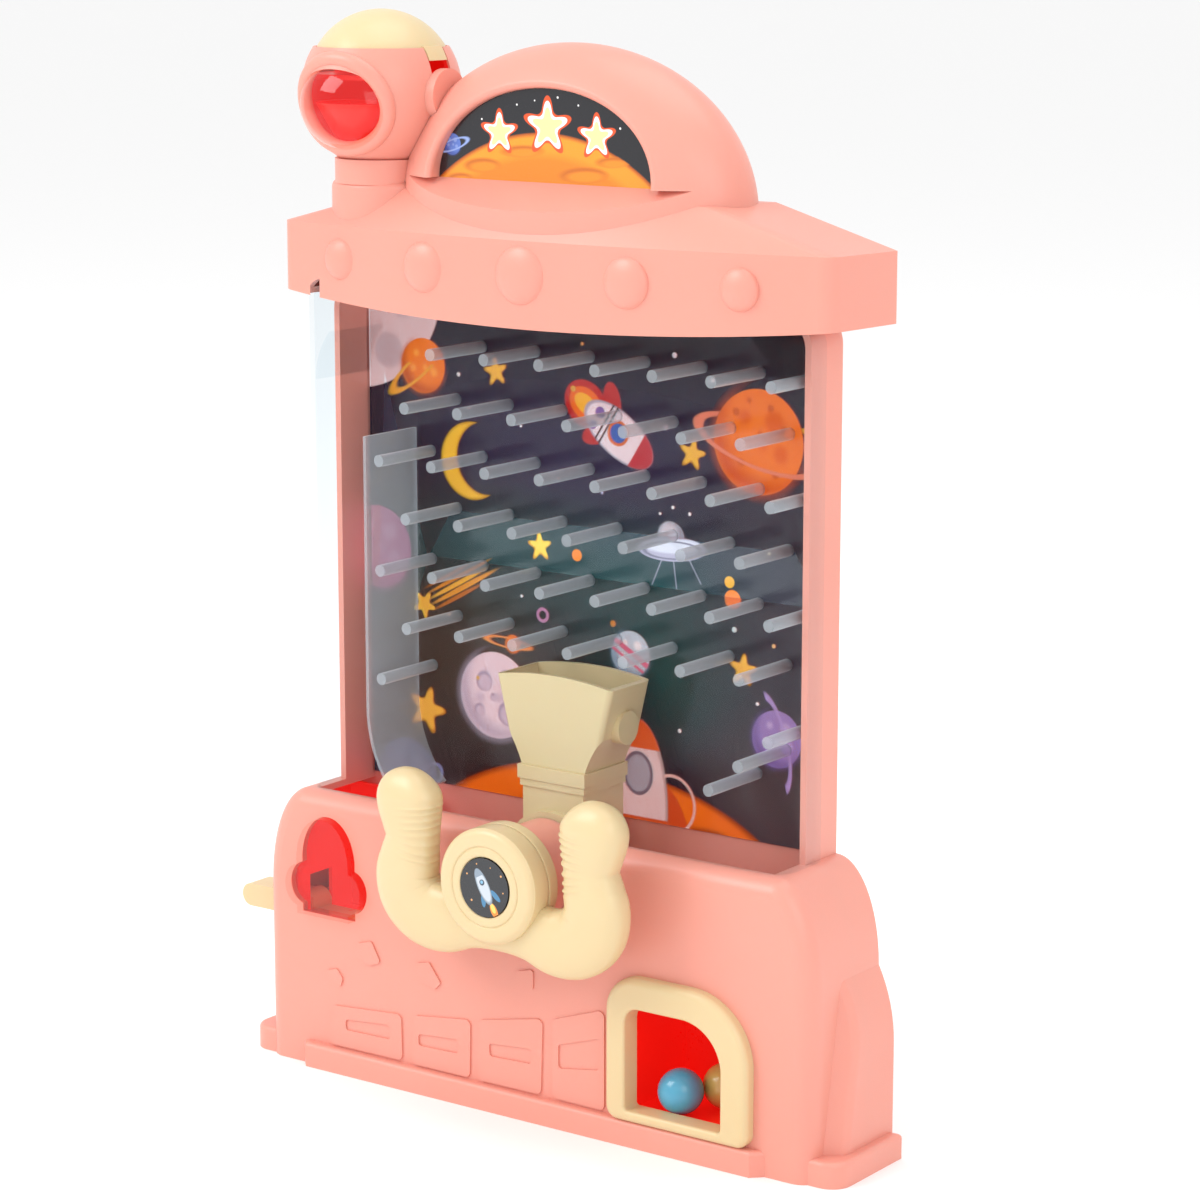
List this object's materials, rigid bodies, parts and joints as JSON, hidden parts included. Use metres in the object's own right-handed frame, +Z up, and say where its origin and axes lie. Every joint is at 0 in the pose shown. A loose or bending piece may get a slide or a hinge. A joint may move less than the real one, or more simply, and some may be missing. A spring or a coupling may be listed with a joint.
{
  "type": "pachinko machine",
  "caption": "Toy ball-drop machine: a clear-fronted pin field on a rocket base, with a steered catcher, ball outlet, side lever, saucer top and pressable astronaut head.",
  "frame": {"origin": "middle of the base's underside, on the table", "axes": "+Z up, -Y towards the player, +X to the player's right"},
  "size_m": [0.2515, 0.0727, 0.357],
  "materials": {
    "pink_shell": "satin moulded plastic",
    "cream_shell": "satin moulded plastic",
    "clear_plastic": "clear and glossy",
    "inner_white": "plain moulded plastic",
    "steel": "zinc plated",
    "backboard_print": "printed sheet",
    "marquee_print": "printed sheet",
    "badge_print": "printed sticker",
    "ball_blue": "glossy",
    "ball_yellow": "glossy"
  },
  "bodies": {
    "cabinet": {"backboard_print": "backboard_print", "base_front": "pink_shell", "base_plate": "pink_shell", "base_rear": "pink_shell", "base_screws": "steel", "brim_back": "pink_shell", "brim_shell": "pink_shell", "button_guide": "inner_white", "button_spring": "steel", "channel_divider": "clear_plastic", "clear_cover": "clear_plastic", "collector_ramp": "pink_shell", "corner_deflector": "clear_plastic", "dome_back": "pink_shell", "dome_shell": "pink_shell", "ear_cups": "pink_shell", "feed_tube": "inner_white", "helmet_front": "pink_shell", "helmet_rear": "pink_shell", "hopper_bowl": "inner_white", "launch_arc": "clear_plastic", "launch_chamber": "pink_shell", "lever_pin": "steel", "lever_spring": "steel", "marquee_print": "marquee_print", "outlet_frame": "cream_shell", "outlet_tray": "pink_shell", "peg_pins": "clear_plastic", "pin_plate": "clear_plastic", "playfield_shell": "pink_shell", "shaft_bush": "pink_shell", "side_ramp": "pink_shell", "torso": "pink_shell", "visor": "clear_plastic", "window_lens": "clear_plastic"},
    "steering": {"wheel_front": "cream_shell", "wheel_back": "cream_shell", "hub_badge": "badge_print", "wheel_screw": "steel", "steering_shaft": "steel", "catcher": "cream_shell"},
    "cap": {"cap_button": "cream_shell", "release_rod": "inner_white"},
    "gate": {"gate_slider": "inner_white"},
    "lever": {"side_lever": "cream_shell"},
    "blue_ball": {"ball_blue": "ball_blue"},
    "yellow_ball": {"ball_yellow": "ball_yellow"}
  },
  "joints": [
    {"name": "steering_turn", "type": "hinge", "parent": "cabinet", "child": "steering", "pos_m": [0.0045, 0, 0.0846], "axis": [0, 1, 0], "range_deg": [-32, 32]},
    {"name": "cap_press", "type": "slide", "parent": "cabinet", "child": "cap", "axis": [0, 0, -1], "range_m": [0, 0.004], "stiffness_N_per_m": 300, "springref_m": -0.003, "deforming": ["button_spring"]},
    {"name": "gate_slide", "type": "slide", "parent": "cabinet", "child": "gate", "axis": [0, 1, 0], "range_m": [0, 0.004]},
    {"name": "lever_flick", "type": "hinge", "parent": "cabinet", "child": "lever", "pos_m": [-0.104, -0.0027, 0.0516], "axis": [0, -1, 0], "range_deg": [0, 10], "stiffness_Nm_per_rad": 0.03, "springref_deg": -28.65},
    {"name": "blue_ball_out", "type": "slide", "parent": "cabinet", "child": "blue_ball", "axis": [0, -0.866, 0.5], "range_m": [0, 0.03]},
    {"name": "yellow_ball_roll", "type": "slide", "parent": "cabinet", "child": "yellow_ball", "axis": [0.68, -0.7332, 0], "range_m": [0, 0.012]}
  ],
  "couplings": [
    {"joint": "gate_slide", "follows": "cap_press", "ratio": 1}
  ]
}
